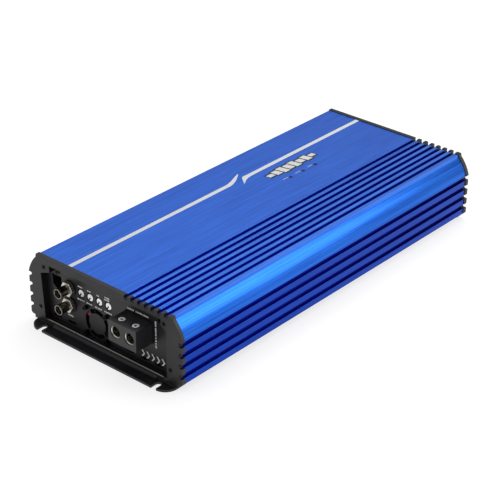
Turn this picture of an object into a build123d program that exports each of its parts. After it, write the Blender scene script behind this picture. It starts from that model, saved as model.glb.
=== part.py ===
"""Class-D car amplifier with a finned aluminium body and recessed end panels, in millimetres.

X runs across the amplifier, Y along it, Z up. The front (signal and speaker end) faces -Y.
The origin is at floor level under the middle of the body, where the mounting feet stand.
"""
from build123d import *
from math import cos, radians, sin, sqrt
import os

os.makedirs("parts", exist_ok=True)

# ---- overall ----
WIDTH = 162.0
FACE_Y = 183.4                    # middle of the body to the face of either end frame
HEIGHT = 61.0
FRAME_THICK = 3.8
FRAME_PROUD = 0.6                 # how far the end frames stand out round the extrusion
HALF_WIDTH = WIDTH / 2
BODY_END_Y = FACE_Y - FRAME_THICK
BODY_BOTTOM_Z = 4.4

# ---- outside profile ----
SHOULDER_X = 71.8                 # where the flat top ends
SHOULDER_STEP = 2.8               # short upright step under the top edge
SHOULDER_MID = (77.6, 51.2)
SHOULDER_LOW_Z = 43.2
PLATEAU_EDGE_X = 23.3             # right edge of the plain top
GROOVE_WIDTH = 3.7
FIN_PITCH = 6.76
TOP_GROOVES = 7
TOP_GROOVE_DEPTH = 3.6
SIDE_GROOVE_Z = 40.4              # middle of the highest side groove
SIDE_GROOVE_PITCH = 9.1
SIDE_GROOVE_HEIGHT = 4.0
SIDE_GROOVE_DEPTH = 3.2
SIDE_GROOVES = 4

# ---- inside of the extrusion ----
WALL_X = 71.0
CEILING_Z = 53.5
RIB_LOW_Z = 47.0                  # underside of the two ribs that take the panel screws
LEDGE_X = 64.0
BOARD_Z = 18.6                    # underside of the main board, on the side ledges
BOARD_THICK = 1.6
BOARD_TOP_Z = BOARD_Z + BOARD_THICK
COVER_THICK = 1.5
COVER_TOP_Z = BODY_BOTTOM_Z + COVER_THICK
COVER_HALF = 75.0

# ---- end frames ----
OPENING_X = (-64.9, 65.5)         # at the foot of the opening
OPENING_LEAN = -2.4               # how far the left side leans outwards up to its lug
OPENING_TOP_Z = 55.2
LUG_X = (-57.5, 60.4)
RIGHT_LUG_Z = (46.5, 50.3)        # its underside at the side wall and at its inner end
LEFT_LUG_Z = (45.8, 49.4)
RAIL_CHAMFER = 0.7
COLLAR = 0.9                      # thin lip behind the frame that presses on the panel
PANEL_DEPTH = 5.9                 # frame face to panel face
PANEL_THICK = 1.5
PANEL_BACK = PANEL_DEPTH + PANEL_THICK
FRAME_SCREWS = [(63.3, 52.4), (-63.3, 52.4), (69.2, 15.2), (-69.2, 15.2)]
FRAME_SCREW_R = 1.25
FRAME_SCREW_HEAD_R = 1.9
FRAME_SCREW_DEPTH = 16.0
PANEL_SCREWS = [(54.6, 49.3), (-54.6, 49.3)]
PANEL_SCREW_R = 1.2

# ---- mounting feet ----
FOOT_HALF = 74.6
FOOT_REACH = 10.4
FOOT_THICK = 2.0
FOOT_CORNER_R = 11.3
FOOT_COVE_R = 2.4
SLOT_X = 61.3
SLOT_R = 2.6
SLOT_END = 4.9                    # frame face to the middle of the slot's round end

# ---- terminal blocks ----
BLOCK_X = 32.45
BLOCK_WIDTH = 28.5
BLOCK_Z = (26.0, 44.0)
BLOCK_PROUD = 12.2
BLOCK_REAR = 20.0                 # frame face to the back of a block
WIRE_PITCH = 14.3
WIRE_Z = 35.3
WIRE_R = 4.3
WIRE_DEPTH = 23.0
MOUTH_R = 5.1
MOUTH_SET_BACK = 0.8              # block front to the plated ring
MOUTH_BEVEL = (4.8, 0.6)          # outer radius and depth of the ring's countersink
INSERT_HALF = 6.3
INSERT_Y = (2.8, 26.0)            # from the block's front
INSERT_Z = (29.6, 42.2)
CLAMP_R = 2.8
CLAMP_Y = 7.4                     # from the block's front
CLAMP_LENGTH = 3.7
CLAMP_GAP = 0.2                   # wire bore to the raised screw's tip
CLAMP_SOCKET = 2.5
STRAP_HALF = 5.0
STRAP_Z = (31.0, 33.0)
STRAP_RUN = 12.0

# ---- turn-on terminal on the rear end ----
TURN_ON_X = -2.0
TURN_ON_Z = 35.0
TURN_ON_HALF = 6.0
TURN_ON_HALF_Z = 7.0
TURN_ON_PROUD = 4.0
TURN_ON_REAR = 18.0
TURN_ON_WIRE_Z = TURN_ON_Z - 0.6
TURN_ON_WIRE_R = 1.8
TURN_ON_SCREW_R = 1.2
TURN_ON_SCREW_TOP = TURN_ON_Z + 6.2
TURN_ON_SCREW_LENGTH = 4.8

# ---- front panel fittings ----
RCA_X = -42.0
RCA_Z = (24.9, 39.2)
RCA_R = 4.15
RCA_WALL = 0.7
RCA_THREAD_R = 3.9
RCA_THREAD_START = 2.1            # frame face to the barrel's shoulder, on the nut
RCA_PROUD = 6.6
RCA_REAR = 14.0
NUT_FLAT = 5.7                    # middle to a flat
NUT_BACK = 4.9
WASHER_R = 6.9
POT_X = (-29.1, -19.3, -9.5, 0.3)
POT_Z = 39.4
POT_SHAFT_R = 2.85
POT_HOLE_R = 3.9
POT_SET_BACK = 0.2                # panel face to the shaft's end
POT_NOTCH = (4.0, 1.2, 1.5)       # length, width and depth of the pointer notch
POT_NOTCH_ANGLE = -120
POT_BODY_FRONT = 12.4
CONTROL_BOARD = (20.4, 22.0)      # depth of the upright control board
REMOTE_WINDOW = [
    (-49.4, 33.6), (-49.4, 46.0), (-62.4, 46.0), (-61.2, 44.0), (-60.6, 36.4), (-56.8, 33.6)]
FAN_X = -12.6
FAN_Z = 18.75
FAN_SIZE = 27.0
FAN_DEPTH = 10.0
FAN_CORNER_R = 2.5
FAN_BORE_R = 12.7
FAN_SWEEP_R = 12.2
FAN_HUB_R = 6.8
FAN_BLADES = 7
FAN_HOLE_PITCH = 21.9
FAN_HOLE_R = 1.6
FAN_SCREW_R = 1.45
FAN_SCREW_HEAD_R = 1.85
FAN_SCREW_HEAD = 3.2
FAN_AXLE_R = 1.0
STRUT_WIDTH = 2.2
STRUT_Y = (1.6, 2.8)              # from the panel's back
LEAD_R = 0.65
LEAD_Y = 0.8                      # from the panel's back, in front of the struts
LEAD_APART = 0.75                 # each wire off the strut's middle line
FAN_LEAD_ANGLE = 163.5
HEADER_X = FAN_X - FAN_SIZE / 2 - 1.0
HEADER_FRONT = 28.5
GRILLE_OUT_R = 12.6
GRILLE_IN_R = 8.9
GRILLE_BRIDGE = 1.9
VENT_X = (-57.0, -40.8, 21.6, 37.1, 52.3)
VENT_Z = 9.0
VENT_SIZE = (8.8, 2.2)

# ---- status lamps under the flat top ----
STATUS_X = -10.1
STATUS_Y = (50.0, 66.4, 82.8)
STATUS_R = 1.6
LED_HEIGHT = 2.0
LED_BOARD_THICK = 1.2

# ---- screws from below and the parts on the main board ----
COVER_SCREWS = [(side * 69.6, y) for side in (-1, 1) for y in (-150, -50, 50, 150)]
BOARD_SCREWS = [(side * 66.8, y) for side in (-1, 1) for y in (-150, 0, 150)]
TAP_R = 1.45                      # cover, board and clamp-bar screws
CLEAR_R = 1.6
BAR_SPANS = ((-125.0, -25.0), (20.0, 120.0))
BAR_SCREW_STEPS = (8.0, 50.0, 92.0)
BAR_SCREW_Y = [low + step for low, _ in BAR_SPANS for step in BAR_SCREW_STEPS]
BAR_Z = 34.0
BAR_THICK = 4.0
PAD_THICK = 0.3
PACKAGE_THICK = 4.4
PACKAGE_STEPS = (19.0, 31.0, 69.0, 81.0)
LEG_STEPS = (-2.54, 0, 2.54)
CHOKES = ((-30.0, -112.0), (20.0, -104.0))
CHOKE = {"out_r": 16, "in_r": 8, "height": 14, "lift": 2}
TRANSFORMER = (0.0, 24.0)
TRANSFORMER_RING = {"out_r": 24, "in_r": 11, "height": 22, "lift": 2.4}
WINDING_GAP = 0.15

# ---- running clearance of shafts and screws in their holes ----
RUNNING = 0.05


def block(x, y, z):
    """A box from its (low, high) pairs."""
    size = [high - low for low, high in (x, y, z)]
    middle = [(high + low) / 2 for low, high in (x, y, z)]
    return Pos(*middle) * Box(*size)


def rod_y(x, z, radius, low, high):
    """A round bar along Y."""
    return Pos(x, (low + high) / 2, z) * Rot(90, 0, 0) * Cylinder(radius, high - low)


def rod_z(x, y, radius, low, high):
    """A round bar along Z."""
    return Pos(x, y, (low + high) / 2) * Cylinder(radius, high - low)


def rod_x(y, z, radius, low, high):
    """A round bar along X."""
    return Pos((low + high) / 2, y, z) * Rot(0, 90, 0) * Cylinder(radius, high - low)


def prism_y(sketch, low, high):
    """An XZ drawing made solid between two Y positions."""
    return extrude(Pos(0, low, 0) * (Plane.XZ * sketch), amount=high - low, dir=(0, 1, 0))


def at_front(depth):
    """Y of a point this far inside the front frame's face."""
    return depth - FACE_Y


def to_rear(part):
    """The same piece on the rear end."""
    return mirror(part, about=Plane.XZ)


def polygon(*points):
    return make_face(Polyline(*points, close=True))


def cross(x, y, reach, low, high):
    """Two crossed grooves along X and Y, as in a screw head or a capacitor's vent."""
    groove = block((x - reach, x + reach), (y - 0.3, y + 0.3), (low, high))
    return groove + block((x - 0.3, x + 0.3), (y - reach, y + reach), (low, high))


def save(node, *pieces):
    """Write one sub-part, every closed solid of it kept apart."""
    solids = [solid for piece in pieces for solid in piece.solids()]
    export_step(Compound(children=solids) if len(solids) > 1 else solids[0], f"parts/{node}.step")
    print(f"{node}: {len(solids)} solids")


# ---------------------------------------------------------------- outside profile

def outline(inset, bottom):
    """Outer XZ outline with sloping shoulders, before the grooves are cut."""
    half = HALF_WIDTH - inset
    top = HEIGHT - inset
    edge = SHOULDER_X - inset
    step = (edge + 0.5, top - SHOULDER_STEP)
    mid = (SHOULDER_MID[0] - inset, SHOULDER_MID[1])
    low = (half, SHOULDER_LOW_Z)
    chamfer_size = 1.6
    right = [
        Line((edge, top), step),
        ThreePointArc(step, mid, low),
        Polyline(low, (half, bottom + chamfer_size), (half - chamfer_size, bottom)),
    ]
    left = [mirror(curve, about=Plane.YZ) for curve in right]
    joins = [
        Line((-edge, top), (edge, top)),
        Line((chamfer_size - half, bottom), (half - chamfer_size, bottom)),
    ]
    return make_face(right + left + joins)


def grooves(corner_r, inset):
    """Drawings of the top and side grooves that the body and both frames share."""
    top_deep = TOP_GROOVE_DEPTH - inset
    cuts = []
    for index in range(TOP_GROOVES):
        x = PLATEAU_EDGE_X + GROOVE_WIDTH / 2 + index * FIN_PITCH
        bar = RectangleRounded(GROOVE_WIDTH, 2 * top_deep, corner_r)
        cuts.append(Pos(x, HEIGHT - inset) * bar)
    for index in range(SIDE_GROOVES):
        z = SIDE_GROOVE_Z - index * SIDE_GROOVE_PITCH
        bar = RectangleRounded(2 * (SIDE_GROOVE_DEPTH - inset), SIDE_GROOVE_HEIGHT, corner_r)
        for side in (-1, 1):
            cuts.append(Pos(side * (HALF_WIDTH - inset), z) * bar)
    return cuts


def opening(grow):
    """The frame's window, with two screw lugs in its top corners, grown by a margin."""
    left = OPENING_X[0] - grow
    right = OPENING_X[1] + grow
    top = OPENING_TOP_Z + grow
    left_lug = LUG_X[0] - grow
    right_lug = LUG_X[1] + grow
    rise = grow / 2
    return polygon(
        (left, COVER_TOP_Z), (right, COVER_TOP_Z),
        (right, RIGHT_LUG_Z[0] + rise), (right_lug, RIGHT_LUG_Z[1] + rise), (right_lug, top),
        (left_lug, top), (left_lug, LEFT_LUG_Z[1] + rise), (left + OPENING_LEAN, LEFT_LUG_Z[0] + rise))


# ---------------------------------------------------------------- chassis

def heatsink():
    profile = outline(FRAME_PROUD, BODY_BOTTOM_Z)
    for cut in grooves(0.7, FRAME_PROUD):
        profile -= cut
    half_cavity = [
        (COVER_HALF, BODY_BOTTOM_Z - 1), (COVER_HALF, COVER_TOP_Z), (LEDGE_X, COVER_TOP_Z),
        (LEDGE_X, BOARD_Z), (WALL_X, BOARD_Z), (WALL_X, 46.0), (68.0, 48.3), (58.6, 48.3),
        (57.3, RIB_LOW_Z), (51.9, RIB_LOW_Z), (50.6, 48.3), (50.6, CEILING_Z),
    ]
    other_half = [(-x, z) for x, z in reversed(half_cavity)]
    profile -= polygon(*half_cavity, *other_half)
    body = prism_y(profile, -BODY_END_Y, BODY_END_Y)
    seat = prism_y(opening(COLLAR + 0.1), -BODY_END_Y - 1, at_front(PANEL_BACK))
    body -= seat
    body -= to_rear(seat)
    for x, z in FRAME_SCREWS:
        port = rod_y(x, z, FRAME_SCREW_R, -BODY_END_Y - 1, at_front(FRAME_SCREW_DEPTH + 2))
        body -= port
        body -= to_rear(port)
    for x, z in PANEL_SCREWS:
        port = rod_y(x, z, PANEL_SCREW_R, at_front(PANEL_BACK - 1), at_front(16))
        body -= port
        body -= to_rear(port)
    for x, y in COVER_SCREWS:
        body -= rod_z(x, y, TAP_R, COVER_TOP_Z - 1, COVER_TOP_Z + 7)
    for x, y in BOARD_SCREWS:
        body -= rod_z(x, y, TAP_R, BOARD_Z - 6, BOARD_Z + 1)
    for y in STATUS_Y:
        body -= rod_z(STATUS_X, y, STATUS_R, CEILING_Z - 1, HEIGHT)
    for side in (-1, 1):
        for y in BAR_SCREW_Y:
            ends = sorted((side * (WALL_X - 1), side * (WALL_X + 4.5)))
            body -= rod_x(y, BAR_Z, TAP_R, *ends)
    return body


def end_frame():
    """Front frame: a die-cast window with the fins' outline and a slotted foot."""
    profile = outline(0, BODY_BOTTOM_Z + 0.4)
    for cut in grooves(1.2, 0):
        profile -= cut
    profile += polygon((-76.8, 2.2), (76.8, 2.2), (76.8, 9.0), (-76.8, 9.0))
    profile += polygon((-FOOT_HALF, 0), (FOOT_HALF, 0), (FOOT_HALF, 3.0), (-FOOT_HALF, 3.0))
    profile -= opening(0)
    frame = prism_y(profile, -FACE_Y, -BODY_END_Y)
    lip = opening(COLLAR) - opening(0) - polygon((-80, 0), (80, 0), (80, 8), (-80, 8))
    frame += prism_y(lip, -BODY_END_Y, at_front(PANEL_DEPTH))

    foot_sketch = Pos(0, -FACE_Y) * Rectangle(2 * FOOT_HALF, 2 * FOOT_REACH)
    corners = foot_sketch.vertices().sort_by(Axis.Y)[:2]
    foot_sketch = fillet(corners, FOOT_CORNER_R)
    foot_sketch -= Pos(0, FACE_Y) * Rectangle(4 * FOOT_HALF, 4 * FACE_Y - 2 * FRAME_THICK)
    for side in (-1, 1):
        middle_y = at_front(-SLOT_END)
        foot_sketch -= Pos(side * SLOT_X, middle_y) * Circle(SLOT_R)
        foot_sketch -= Pos(side * SLOT_X, middle_y - FOOT_REACH / 2) * Rectangle(2 * SLOT_R, FOOT_REACH)
    frame += extrude(foot_sketch, amount=FOOT_THICK)

    cove_top = FOOT_THICK + FOOT_COVE_R
    cove = make_face([
        Line((0, FOOT_THICK), (0, cove_top)),
        ThreePointArc(
            (0, cove_top),
            (-FOOT_COVE_R * (1 - cos(radians(45))), cove_top - FOOT_COVE_R * sin(radians(45))),
            (-FOOT_COVE_R, FOOT_THICK),
        ),
        Line((-FOOT_COVE_R, FOOT_THICK), (0, FOOT_THICK)),
    ])
    bar = extrude(Pos(-SLOT_X + 6, -FACE_Y, 0) * (Plane.YZ * cove), amount=2 * SLOT_X - 12, dir=(1, 0, 0))
    frame += bar
    for x, z in FRAME_SCREWS:
        frame -= rod_y(x, z, FRAME_SCREW_R + 0.15, -FACE_Y - 1, -BODY_END_Y + 1)
        frame -= rod_y(x, z, FRAME_SCREW_HEAD_R + 0.15, -FACE_Y - 1, at_front(1.2))
    rail = sum(OPENING_X) / 2
    edge = RAIL_CHAMFER * sqrt(2)
    length = OPENING_X[1] - OPENING_X[0]
    frame -= Pos(rail, -FACE_Y, COVER_TOP_Z) * Rot(45, 0, 0) * Box(length, edge, edge)
    return frame


def socket_screw(x, z, face, head_r, head_deep, shank_r, end, flat):
    """Screw along Y with a hexagon socket; its head's face is at depth face."""
    screw = rod_y(x, z, head_r, at_front(face), at_front(face + head_deep))
    screw += rod_y(x, z, shank_r, at_front(face + head_deep), at_front(end))
    hexagon = Pos(x, z) * RegularPolygon(flat / 2, 6, major_radius=False)
    screw -= prism_y(hexagon, at_front(face - 1), at_front(face + head_deep * 0.6))
    return screw


def bottom_cover():
    end = BODY_END_Y - 0.2
    cover = block((-COVER_HALF + 0.3, COVER_HALF - 0.3), (-end, end), (BODY_BOTTOM_Z, COVER_TOP_Z))
    half = FAN_SIZE / 2 + 0.6
    cover -= block((FAN_X - half, FAN_X + half), (at_front(PANEL_BACK), at_front(19)), (0, 10))
    for x, y in COVER_SCREWS:
        cover -= rod_z(x, y, CLEAR_R, 0, 10)
    return cover


def cover_screw(x, y):
    """Countersunk-style low head under the cover, its tip in the side ledge."""
    screw = rod_z(x, y, 2.8, BODY_BOTTOM_Z - 0.9, BODY_BOTTOM_Z)
    screw += rod_z(x, y, TAP_R, BODY_BOTTOM_Z, COVER_TOP_Z + 6)
    return screw - cross(x, y, 1.9, BODY_BOTTOM_Z - 2, BODY_BOTTOM_Z - 0.4)


# ---------------------------------------------------------------- front panel

def plain_panel():
    return prism_y(opening(COLLAR), at_front(PANEL_DEPTH), at_front(PANEL_BACK))


def through(sketch):
    """A cutter that passes right through an end panel."""
    return prism_y(sketch, at_front(PANEL_DEPTH - 1), at_front(PANEL_BACK + 1))


def vent(x, z):
    return through(Pos(x, z) * SlotOverall(VENT_SIZE[0], VENT_SIZE[1]))


def fan_corners():
    reach = FAN_HOLE_PITCH / 2
    return [(FAN_X + sx * reach, FAN_Z + sz * reach) for sx in (-1, 1) for sz in (-1, 1)]


def front_panel():
    panel = plain_panel()
    for x in VENT_X:
        panel -= vent(x, VENT_Z)
    ring = Circle(GRILLE_OUT_R) - Circle(GRILLE_IN_R)
    for angle in (45, 135):
        ring -= Rot(0, 0, angle) * Rectangle(4 * GRILLE_OUT_R, GRILLE_BRIDGE)
    panel -= through(Pos(FAN_X, FAN_Z) * ring)
    for x, z in fan_corners():
        panel -= through(Pos(x, z) * Circle(FAN_HOLE_R))
    for z in RCA_Z:
        panel -= through(Pos(RCA_X, z) * Circle(RCA_THREAD_R + 0.1))
    for x in POT_X:
        panel -= through(Pos(x, POT_Z) * Circle(POT_HOLE_R))
    for x, z in PANEL_SCREWS:
        panel -= through(Pos(x, z) * Circle(PANEL_SCREW_R + 0.15))
    panel -= through(polygon(*REMOTE_WINDOW))
    panel -= through(block_window())
    return panel


def block_window():
    height = BLOCK_Z[1] - BLOCK_Z[0] + 0.8
    return Pos(BLOCK_X, sum(BLOCK_Z) / 2) * Rectangle(BLOCK_WIDTH + 0.8, height)


def rear_panel():
    panel = plain_panel()
    panel -= through(block_window())
    window = Rectangle(2 * TURN_ON_HALF + 0.8, 2 * TURN_ON_HALF_Z + 0.8)
    panel -= through(Pos(TURN_ON_X, TURN_ON_Z) * window)
    for x, z in PANEL_SCREWS:
        panel -= through(Pos(x, z) * Circle(PANEL_SCREW_R + 0.15))
    for row in range(3):
        for column in range(5):
            panel -= vent(-50 + 12.5 * column, VENT_Z + 9 * row)
    for column in range(3):
        panel -= vent(21.6 + 15.5 * column, VENT_Z)
    return to_rear(panel)


# ---------------------------------------------------------------- terminal blocks

def wire_holes():
    return [BLOCK_X - WIRE_PITCH / 2, BLOCK_X + WIRE_PITCH / 2]


def terminal_insert(x):
    """Plated brass terminal: round mouth, square body, wire bore and clamp thread."""
    front = at_front(-BLOCK_PROUD)
    face = front + MOUTH_SET_BACK
    bevel_r, bevel_deep = MOUTH_BEVEL
    insert = rod_y(x, WIRE_Z, MOUTH_R, face, front + 3) + insert_body(x)
    insert -= rod_y(x, WIRE_Z, WIRE_R, front, front + WIRE_DEPTH)
    insert -= Pos(x, face + bevel_deep / 2, WIRE_Z) * Rot(90, 0, 0) * Cone(WIRE_R, bevel_r, bevel_deep)
    return insert - rod_z(x, front + CLAMP_Y, CLAMP_R, WIRE_Z, BLOCK_Z[1])


def insert_body(x):
    front = at_front(-BLOCK_PROUD)
    depth = (front + INSERT_Y[0], front + INSERT_Y[1])
    return block((x - INSERT_HALF, x + INSERT_HALF), depth, INSERT_Z)


def terminal_housing():
    front = at_front(-BLOCK_PROUD)
    half = BLOCK_WIDTH / 2
    span = (BLOCK_X - half, BLOCK_X + half)
    housing = block(span, (front, at_front(BLOCK_REAR)), BLOCK_Z)
    housing = fillet(housing.edges().filter_by(Axis.Y), 0.8)
    housing += block(span, (at_front(9.2), at_front(BLOCK_REAR)), (BOARD_TOP_Z, BLOCK_Z[0] + 1))
    for x in wire_holes():
        housing -= rod_y(x, WIRE_Z, MOUTH_R, front - 1, front + 3)
        housing -= insert_body(x)
        housing -= rod_z(x, front + CLAMP_Y, CLAMP_R + 0.8, INSERT_Z[1] - 1, BLOCK_Z[1] + 2)
        strap_slot = (front + INSERT_Y[1] - 1, at_front(BLOCK_REAR + 1))
        housing -= block((x - STRAP_HALF, x + STRAP_HALF), strap_slot, STRAP_Z)
    return housing


def clamp_screw(x, y, radius, top, length, flat):
    """Socket grub screw standing in its thread, its tip just above the wire bore."""
    screw = rod_z(x, y, radius - RUNNING, top - length, top)
    hexagon = RegularPolygon(flat / 2, 6, major_radius=False)
    return screw - Pos(x, y, top - length * 0.5) * extrude(hexagon, amount=length)


def bus_bar(x):
    """Copper strap from the back of a terminal down to the main board."""
    start = at_front(-BLOCK_PROUD) + INSERT_Y[1]
    end = start + STRAP_RUN
    strap = block((x - STRAP_HALF, x + STRAP_HALF), (start, end), STRAP_Z)
    return strap + block((x - STRAP_HALF, x + STRAP_HALF), (end - 2, end), (BOARD_TOP_Z, STRAP_Z[1]))


# ---------------------------------------------------------------- turn-on terminal

def turn_on_span(half):
    return (TURN_ON_X - half, TURN_ON_X + half)


def turn_on_room():
    """The space the clamp cage fills inside its housing."""
    depth = (at_front(1.6 - TURN_ON_PROUD), at_front(8))
    return block(turn_on_span(3.4), depth, (TURN_ON_Z - 4, TURN_ON_Z + 4.4))


def turn_on_housing():
    front = at_front(-TURN_ON_PROUD)
    rear = at_front(TURN_ON_REAR)
    width = turn_on_span(TURN_ON_HALF)
    housing = block(width, (front, rear), (TURN_ON_Z - TURN_ON_HALF_Z, TURN_ON_Z + TURN_ON_HALF_Z))
    housing += block(width, (at_front(9.2), rear), (BOARD_TOP_Z, TURN_ON_Z))
    housing -= turn_on_room()
    housing -= rod_y(TURN_ON_X, TURN_ON_WIRE_Z, TURN_ON_WIRE_R + 0.2, front - 1, at_front(0))
    return housing - rod_z(TURN_ON_X, at_front(0), TURN_ON_SCREW_R + 0.6, TURN_ON_Z, TURN_ON_Z + 8)


def turn_on_cage():
    bore = rod_y(TURN_ON_X, TURN_ON_WIRE_Z, TURN_ON_WIRE_R, at_front(-3), at_front(6.5))
    thread = rod_z(TURN_ON_X, at_front(0), TURN_ON_SCREW_R, TURN_ON_Z, TURN_ON_Z + 8)
    return turn_on_room() - bore - thread


# ---------------------------------------------------------------- signal fittings

def control_board():
    depth = (at_front(CONTROL_BOARD[0]), at_front(CONTROL_BOARD[1]))
    board = block((-64, -35), depth, (BOARD_TOP_Z, RIB_LOW_Z - 0.2))
    board += block((-36, 7), depth, (36.6, 48))
    return board


def remote_socket():
    """Modular socket for the wired level control, its latch towards the side."""
    window = polygon(*REMOTE_WINDOW)
    depth = (at_front(PANEL_BACK), at_front(CONTROL_BOARD[0]))
    shell = block((-63.6, -48.7), depth, (31.4, RIB_LOW_Z - 0.2))
    shell += prism_y(window, at_front(PANEL_DEPTH), at_front(PANEL_BACK + 1))
    core = offset(window, -0.5, kind=Kind.INTERSECTION)
    return shell - prism_y(core, at_front(PANEL_DEPTH - 1), at_front(CONTROL_BOARD[0] - 1.6))


def remote_contacts():
    """Eight spring contacts in the socket, side by side."""
    wires = []
    for index in range(8):
        z = 35.4 + index * 1.2
        tail = block((-53.4, -53.0), (at_front(10), at_front(18.8)), (z, z + 0.5))
        nose = block((-54.9, -53.0), (at_front(10), at_front(10.5)), (z, z + 0.5))
        wires.append(tail + nose)
    return wires


def rca_shell(z):
    """Jack barrel with a thinner threaded part that passes through nut and panel."""
    shell = rod_y(RCA_X, z, RCA_R, at_front(-RCA_PROUD), at_front(RCA_THREAD_START))
    shell += rod_y(RCA_X, z, RCA_THREAD_R, at_front(RCA_THREAD_START), at_front(RCA_REAR))
    return shell - rod_y(RCA_X, z, RCA_R - RCA_WALL, at_front(-RCA_PROUD - 1), at_front(RCA_REAR - 1))


def rca_insulator(z):
    plug = rod_y(RCA_X, z, RCA_R - RCA_WALL, at_front(2.5), at_front(RCA_REAR - 1))
    throat = rod_y(RCA_X, z, 2.3, at_front(-3.4), at_front(RCA_REAR - 1))
    return plug + throat - rod_y(RCA_X, z, 1.9, at_front(-5), at_front(RCA_REAR))


def rca_contact(z):
    tube = rod_y(RCA_X, z, 1.9, at_front(-3.2), at_front(RCA_REAR - 1))
    return tube - rod_y(RCA_X, z, 1.6, at_front(-4), at_front(8))


def rca_nut(z):
    hexagon = Pos(RCA_X, z) * RegularPolygon(NUT_FLAT, 6, major_radius=False)
    nut = prism_y(hexagon, at_front(RCA_THREAD_START), at_front(NUT_BACK))
    nut = chamfer(nut.faces().sort_by(Axis.Y)[0].edges(), 0.5)
    return nut - rod_y(RCA_X, z, RCA_THREAD_R, at_front(0), at_front(NUT_BACK + 1))


def rca_washer(z):
    washer = rod_y(RCA_X, z, WASHER_R, at_front(NUT_BACK), at_front(PANEL_DEPTH))
    return washer - rod_y(RCA_X, z, RCA_THREAD_R, at_front(NUT_BACK - 1), at_front(PANEL_DEPTH + 1))


def rca_block():
    depth = (at_front(PANEL_BACK), at_front(CONTROL_BOARD[0]))
    housing = block((-48.6, -35.4), depth, (BOARD_TOP_Z, 46.4))
    for z in RCA_Z:
        housing -= rod_y(RCA_X, z, RCA_THREAD_R, at_front(PANEL_DEPTH), at_front(RCA_REAR))
    return housing


def pot_body(x):
    depth = (at_front(POT_BODY_FRONT), at_front(CONTROL_BOARD[0]))
    housing = block((x - 4.6, x + 4.6), depth, (35.9, 44.0))
    bush = rod_y(x, POT_Z, POT_SHAFT_R + 0.65, at_front(PANEL_DEPTH + 0.6), at_front(POT_BODY_FRONT + 0.6))
    return housing + bush - rod_y(x, POT_Z, POT_SHAFT_R + RUNNING, at_front(4), at_front(17))


def pot_shaft(x):
    """Round shaft with a pointer notch from its middle to its rim."""
    end = PANEL_DEPTH + POT_SET_BACK
    shaft = rod_y(x, POT_Z, POT_SHAFT_R, at_front(end), at_front(16.6))
    length, width, depth = POT_NOTCH
    notch = Pos(x, POT_Z) * Rot(0, 0, POT_NOTCH_ANGLE) * Pos(length / 2, 0) * Rectangle(length, width)
    return shaft - prism_y(notch, at_front(end - 1), at_front(end + depth))


# ---------------------------------------------------------------- fan

def fan_frame():
    near = at_front(PANEL_BACK)
    far = near + FAN_DEPTH
    strut_near, strut_far = (near + y for y in STRUT_Y)
    square = Pos(FAN_X, FAN_Z) * RectangleRounded(FAN_SIZE, FAN_SIZE, FAN_CORNER_R)
    frame = prism_y(square, near, far) - rod_y(FAN_X, FAN_Z, FAN_BORE_R, near - 1, far + 1)
    struts = Circle(FAN_HUB_R)
    for angle in (FAN_LEAD_ANGLE, FAN_LEAD_ANGLE - 90):
        struts += Rot(0, 0, angle) * Rectangle(2 * FAN_BORE_R + 0.8, STRUT_WIDTH)
    frame += prism_y(Pos(FAN_X, FAN_Z) * struts, strut_near, strut_far)
    frame += rod_y(FAN_X, FAN_Z, 2.2, strut_far - 0.2, near + 7.5)
    frame -= rod_y(FAN_X, FAN_Z, FAN_AXLE_R + RUNNING, strut_near + 0.5, far)
    for x, z in fan_corners():
        frame -= rod_y(x, z, FAN_HOLE_R, near - 1, far + 1)
    notch = Rot(0, 0, FAN_LEAD_ANGLE) * Pos(FAN_BORE_R + 4, 0) * Rectangle(10, 3.2)
    return frame - prism_y(Pos(FAN_X, FAN_Z) * notch, near - 1, strut_near)


def fan_rotor():
    near = at_front(PANEL_BACK)
    start = near + STRUT_Y[1] + 0.5
    end = near + FAN_DEPTH - 0.4
    cup = rod_y(FAN_X, FAN_Z, FAN_HUB_R, start, end)
    cup -= rod_y(FAN_X, FAN_Z, FAN_HUB_R - 1.2, near, end - 1.2)
    cup += rod_y(FAN_X, FAN_Z, FAN_AXLE_R, near + STRUT_Y[0] + 0.6, end - 0.6)
    blade_middle = (FAN_HUB_R + FAN_SWEEP_R) / 2
    for index in range(FAN_BLADES):
        blade = Pos(blade_middle, 0, 0) * Rot(38, 0, 0) * Box(6.4, 0.9, 8.2)
        upright = Rot(0, 0, 360 * index / FAN_BLADES) * blade
        cup += Pos(FAN_X, near + 6.3, FAN_Z) * Rot(90, 0, 0) * upright
    sweep_limit = rod_y(FAN_X, FAN_Z, FAN_SWEEP_R, start + 0.1, end - 0.3)
    return cup & (sweep_limit + rod_y(FAN_X, FAN_Z, FAN_HUB_R, near, end))


def lead(points, radii, radius):
    """A round wire along straight runs and tangent arcs."""
    path = FilletPolyline(*points, radius=radii)
    start = path.position_at(0)
    section = Plane(origin=start, z_dir=path.tangent_at(0)) * Circle(radius)
    return sweep(section, path=path)


def fan_lead(shift):
    """One of the two fan wires: out of the hub, along a strut and back to its header."""
    ux = cos(radians(FAN_LEAD_ANGLE))
    uz = sin(radians(FAN_LEAD_ANGLE))
    panel_back = at_front(PANEL_BACK)
    y = panel_back + LEAD_Y
    hub_x = FAN_X + 5 * ux
    hub_z = FAN_Z + 5 * uz + shift
    exit_z = FAN_Z + (HEADER_X - FAN_X) / ux * uz + shift
    points = [
        (hub_x, panel_back + STRUT_Y[0], hub_z),
        (hub_x, y, hub_z),
        (HEADER_X, y, exit_z),
        (HEADER_X, at_front(HEADER_FRONT), exit_z),
    ]
    return lead(points, [0.7, 0.9], LEAD_R)


def fan_header():
    """Upright two-pin connector the leads plug into, standing on the main board."""
    depth = (at_front(HEADER_FRONT), at_front(HEADER_FRONT + 5))
    return block((HEADER_X - 2, HEADER_X + 2), depth, (BOARD_TOP_Z, BOARD_TOP_Z + 6))


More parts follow.
